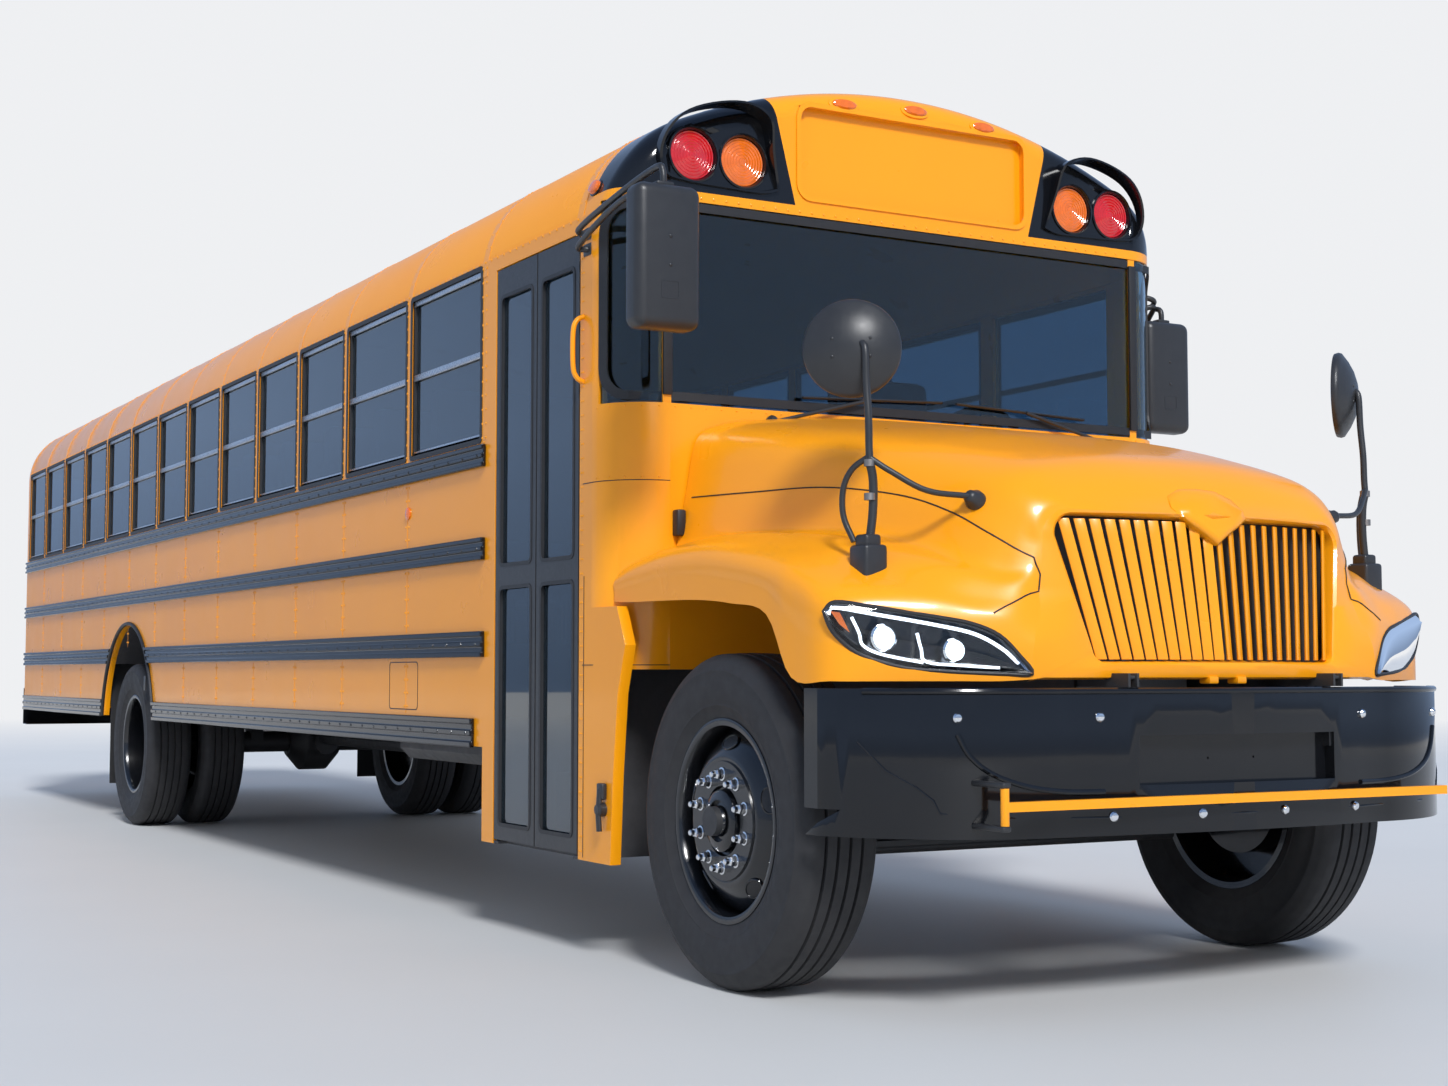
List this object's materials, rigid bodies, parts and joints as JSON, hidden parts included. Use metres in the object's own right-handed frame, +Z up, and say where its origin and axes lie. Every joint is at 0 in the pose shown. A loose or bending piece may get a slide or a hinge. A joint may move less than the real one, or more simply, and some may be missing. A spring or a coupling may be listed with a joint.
{
  "type": "school bus",
  "caption": "Long conventional school bus with a tilting hood, two-leaf entry door, rear emergency door, swinging stop and crossing arms, bench seats and twin rear wheels.",
  "frame": {"origin": "middle of the footprint, on the floor under the tyres", "axes": "+X forward, +Y towards the driver's side, +Z up"},
  "size_m": [12.47, 2.9, 3.1],
  "materials": {
    "body_yellow": "gloss school-bus yellow paint",
    "screen_glass": "clear laminated glass",
    "tinted_glass": "dark tinted glass",
    "sash_metal": "satin aluminium",
    "floor_metal": "black ribbed floor covering on steel",
    "black_gloss": "gloss black paint",
    "chassis_black": "satin black chassis paint",
    "engine_grey": "painted cast iron",
    "tank_metal": "satin black steel",
    "exhaust_metal": "heat-dulled steel",
    "flap_rubber": "matt rubber",
    "wheel_paint": "black painted steel",
    "tyre_rubber": "matt tyre rubber",
    "lamp_clear": "clear polycarbonate lens",
    "mirror_black": "satin black plastic",
    "door_black": "satin black painted aluminium",
    "sign_red": "red reflective sheet, blank",
    "arm_yellow": "yellow glass-fibre rod",
    "lamp_red": "red lens",
    "lamp_amber": "amber lens",
    "seat_vinyl": "dark blue vinyl",
    "dash_plastic": "moulded dark plastic"
  },
  "bodies": {
    "root": {"side_wall_right": "body_yellow", "side_wall_left": "body_yellow", "roof": "body_yellow", "front_cap": "body_yellow", "rear_wall": "body_yellow", "cowl": "body_yellow", "windshield": "screen_glass", "window_frames": "sash_metal", "side_glass_right": "tinted_glass", "side_glass_left": "tinted_glass", "rear_glass": "tinted_glass", "floor": "floor_metal", "entry_steps": "floor_metal", "rub_rails": "black_gloss", "frame_rails": "chassis_black", "front_axle": "chassis_black", "rear_axle": "chassis_black", "engine_block": "engine_grey", "fuel_tank": "tank_metal", "exhaust": "exhaust_metal", "mud_flaps": "flap_rubber", "mirrors": "mirror_black", "front_bumper": "black_gloss", "rear_bumper": "black_gloss", "arm_mounts": "door_black", "lamps_red": "lamp_red", "lamps_amber": "lamp_amber", "seats": "seat_vinyl", "dashboard": "dash_plastic"},
    "hood": {"hood_shell": "body_yellow", "grille": "body_yellow", "headlights": "lamp_clear", "hood_mirrors": "mirror_black"},
    "steer_right": {"knuckle_right": "chassis_black"},
    "steer_left": {"knuckle_left": "chassis_black"},
    "cross_link": {"tie_rod": "chassis_black"},
    "wheel_front_right": {"rim_front_right": "wheel_paint", "tyre_front_right": "tyre_rubber"},
    "wheel_front_left": {"rim_front_left": "wheel_paint", "tyre_front_left": "tyre_rubber"},
    "wheels_rear_right": {"rims_rear_right": "wheel_paint", "tyres_rear_right": "tyre_rubber"},
    "wheels_rear_left": {"rims_rear_left": "wheel_paint", "tyres_rear_left": "tyre_rubber"},
    "entry_leaf_front": {"door_leaf_front": "door_black", "door_glass_front": "tinted_glass"},
    "entry_leaf_rear": {"door_leaf_rear": "door_black", "door_glass_rear": "tinted_glass"},
    "emergency_door": {"rear_door": "body_yellow", "rear_door_glass": "tinted_glass"},
    "stop_sign": {"stop_arm": "sign_red"},
    "crossing_gate": {"crossing_arm": "arm_yellow"},
    "steering": {"steering_wheel": "dash_plastic"}
  },
  "joints": [
    {"name": "steer_right_pivot", "type": "hinge", "parent": "root", "child": "steer_right", "pos_m": [5.15, -0.88, 0.515], "axis": [0, 0, 1], "range_deg": [-40, 40]},
    {"name": "steer_left_pivot", "type": "hinge", "parent": "root", "child": "steer_left", "pos_m": [5.15, 0.88, 0.515], "axis": [0, 0, 1], "range_deg": [-40, 40]},
    {"name": "tie_rod_pivot", "type": "hinge", "parent": "steer_right", "child": "cross_link", "pos_m": [4.91, -0.88, 0.395], "axis": [0, 0, 1], "range_deg": [-40, 40]},
    {"name": "steering_wheel_turn", "type": "hinge", "parent": "root", "child": "steering", "pos_m": [4.15, 0.56, 1.8], "axis": [-0.8423, 0, 0.5391], "range_deg": [-600, 600]},
    {"name": "wheel_front_right_roll", "type": "hinge", "parent": "steer_right", "child": "wheel_front_right", "pos_m": [5.15, -1.03, 0.515], "axis": [0, 1, 0], "continuous": true},
    {"name": "wheel_front_left_roll", "type": "hinge", "parent": "steer_left", "child": "wheel_front_left", "pos_m": [5.15, 1.03, 0.515], "axis": [0, 1, 0], "continuous": true},
    {"name": "wheels_rear_right_roll", "type": "hinge", "parent": "root", "child": "wheels_rear_right", "pos_m": [-2.5, -0.892, 0.515], "axis": [0, 1, 0], "continuous": true},
    {"name": "wheels_rear_left_roll", "type": "hinge", "parent": "root", "child": "wheels_rear_left", "pos_m": [-2.5, 0.892, 0.515], "axis": [0, 1, 0], "continuous": true},
    {"name": "hood_tilt", "type": "hinge", "parent": "root", "child": "hood", "pos_m": [6.172, 0, 0.955], "axis": [0, 1, 0], "range_deg": [0, 70]},
    {"name": "entry_front_swing", "type": "hinge", "parent": "root", "child": "entry_leaf_front", "pos_m": [4.249, -1.208, 1.4], "axis": [0, 0, 1], "range_deg": [0, 88]},
    {"name": "entry_rear_swing", "type": "hinge", "parent": "root", "child": "entry_leaf_rear", "pos_m": [3.548, -1.208, 1.4], "axis": [0, 0, 1], "range_deg": [-88, 0]},
    {"name": "emergency_door_swing", "type": "hinge", "parent": "root", "child": "emergency_door", "pos_m": [-6.089, -0.447, 1.8], "axis": [0, 0, 1], "range_deg": [0, 110]},
    {"name": "stop_sign_swing", "type": "hinge", "parent": "root", "child": "stop_sign", "pos_m": [3.25, 1.255, 1.62], "axis": [0, 0, -1], "range_deg": [0, 90]},
    {"name": "crossing_gate_swing", "type": "hinge", "parent": "root", "child": "crossing_gate", "pos_m": [6.223, -0.885, 0.61], "axis": [0, 0, -1], "range_deg": [0, 100]}
  ],
  "couplings": [
    {"joint": "steer_left_pivot", "follows": "steer_right_pivot", "ratio": 1},
    {"joint": "tie_rod_pivot", "follows": "steer_right_pivot", "ratio": -1},
    {"joint": "steering_wheel_turn", "follows": "steer_right_pivot", "ratio": 15},
    {"joint": "entry_rear_swing", "follows": "entry_front_swing", "ratio": -1}
  ]
}
